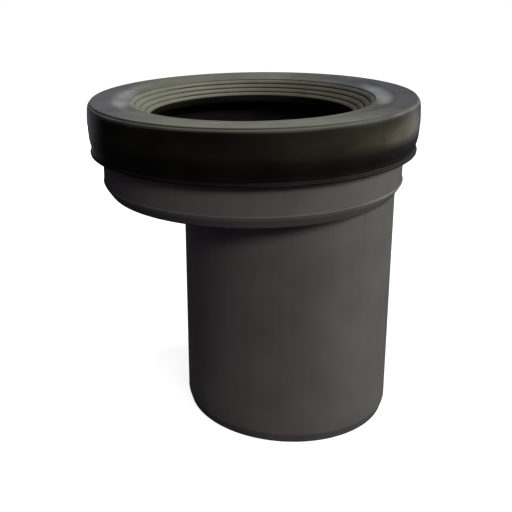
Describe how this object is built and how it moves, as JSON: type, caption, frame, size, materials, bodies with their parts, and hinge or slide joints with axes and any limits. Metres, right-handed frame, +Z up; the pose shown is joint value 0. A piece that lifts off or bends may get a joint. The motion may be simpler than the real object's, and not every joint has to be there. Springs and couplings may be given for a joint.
{
  "type": "toilet pan connector",
  "caption": "Offset toilet pan connector: a round plastic cup with its pipe spigot set to one side, and a black rubber lip seal clipped over the cup's mouth to grip the pan's outlet.",
  "frame": {"origin": "on the cup's axis, in the plane of the spigot's end", "axes": "+Z up along the cup's axis to the pan, +X from the cup's axis to the spigot's axis"},
  "size_m": [0.1686, 0.1686, 0.1715],
  "materials": {
    "body": "satin",
    "seal": "satin"
  },
  "bodies": {
    "root": {"connector_body": "body", "lip_seal": "seal"}
  },
  "joints": []
}
